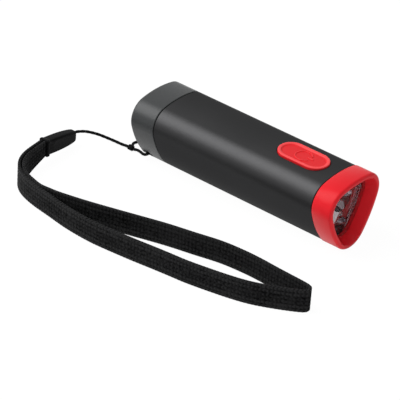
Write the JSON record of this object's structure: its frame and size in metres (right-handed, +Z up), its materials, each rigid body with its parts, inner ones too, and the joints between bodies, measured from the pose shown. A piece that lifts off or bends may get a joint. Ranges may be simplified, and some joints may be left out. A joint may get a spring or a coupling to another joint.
{
  "type": "dynamo flashlight",
  "caption": "Hand-cranked torch with a rounded triangular barrel, a push button, a folding crank on its hidden face and a webbing wrist strap.",
  "frame": {"origin": "on the floor, under the middle of the torch without its strap", "axes": "+X along the torch to its bezel, +Y to the face that carries the crank, +Z up through the button"},
  "size_m": [0.1573, 0.0961, 0.0339],
  "materials": {
    "black_anodised": "satin black anodised",
    "grey_cap": "satin",
    "red_plastic": "semi-gloss",
    "clear_lens": "clear acrylic",
    "chrome": "vacuum-metallised",
    "steel": "plain",
    "white_nylon": "natural nylon",
    "black_plastic": "satin",
    "green_board": "solder mask",
    "copper": "enamelled winding",
    "ferrite": "matt",
    "battery_wrap": "shrink sleeve",
    "rubber": "matt",
    "led_resin": "clear yellow resin",
    "black_webbing": "woven"
  },
  "bodies": {
    "torch": {"battery": "battery_wrap", "battery_wire_1": "red_plastic", "battery_wire_2": "red_plastic", "bezel": "red_plastic", "board_screw_1": "steel", "board_screw_2": "steel", "board_tray": "black_plastic", "cap_screw_left": "steel", "cap_screw_right": "steel", "cap_seal": "rubber", "capacitor": "black_plastic", "charge_chip": "black_plastic", "chassis": "black_plastic", "coil": "copper", "control_board": "green_board", "cord_hitch": "rubber", "first_gear_pin": "steel", "gearbox_cover": "black_plastic", "gearbox_screw_1": "steel", "gearbox_screw_2": "steel", "gearbox_screw_3": "steel", "gearbox_screw_4": "steel", "generator_wire_1": "copper", "generator_wire_2": "copper", "keel_led": "led_resin", "lanyard_cord": "black_webbing", "lanyard_loop": "black_webbing", "led_board": "green_board", "lens": "clear_lens", "light_wire_1": "black_plastic", "light_wire_2": "black_plastic", "main_body": "black_anodised", "main_led": "led_resin", "reflector": "chrome", "reflector_screw": "steel", "second_gear_pin": "steel", "stator_can": "steel", "strap_sleeve": "rubber", "switch_housing": "steel", "tail_cap": "grey_cap", "webbing": "black_webbing"},
    "button": {"button": "red_plastic", "switch_plunger": "black_plastic"},
    "crank": {"crank_shaft": "steel", "crank_gear": "white_nylon", "crank_arm": "black_plastic", "crank_screw": "steel", "knob_pin": "steel"},
    "first_gear": {"first_gear": "white_nylon"},
    "second_gear": {"second_gear": "white_nylon"},
    "rotor": {"rotor_shaft": "steel", "rotor_magnet": "ferrite"},
    "knob": {"knob_stem": "steel"},
    "grip": {"knob_grip": "red_plastic"}
  },
  "joints": [
    {"name": "button_press", "type": "slide", "parent": "torch", "child": "button", "axis": [0, 0, -1], "range_m": [0, 0.001], "stiffness_N_per_m": 800, "springref_m": -0.001},
    {"name": "crank_turn", "type": "hinge", "parent": "torch", "child": "crank", "pos_m": [-0.0245, 0.01132, 0.01205], "axis": [0, 0.8859, -0.4638], "continuous": true},
    {"name": "first_gear_turn", "type": "hinge", "parent": "torch", "child": "first_gear", "pos_m": [-0.0124, 0.01132, 0.01205], "axis": [0, 0.8859, -0.4638], "continuous": true},
    {"name": "second_gear_turn", "type": "hinge", "parent": "torch", "child": "second_gear", "pos_m": [-0.0015, 0.01132, 0.01205], "axis": [0, 0.8859, -0.4638], "continuous": true},
    {"name": "rotor_turn", "type": "hinge", "parent": "torch", "child": "rotor", "pos_m": [0.0094, 0.01132, 0.01205], "axis": [0, 0.8859, -0.4638], "continuous": true},
    {"name": "knob_fold", "type": "hinge", "parent": "crank", "child": "knob", "pos_m": [0.0195, 0.01425, 0.01052], "axis": [0, -0.4638, -0.8859], "range_deg": [0, 90]},
    {"name": "knob_spin", "type": "hinge", "parent": "knob", "child": "grip", "pos_m": [0.0195, 0.01425, 0.01052], "axis": [-1, 0, 0], "continuous": true}
  ],
  "couplings": [
    {"joint": "first_gear_turn", "follows": "crank_turn", "ratio": -4},
    {"joint": "second_gear_turn", "follows": "crank_turn", "ratio": 14},
    {"joint": "rotor_turn", "follows": "crank_turn", "ratio": -49}
  ]
}
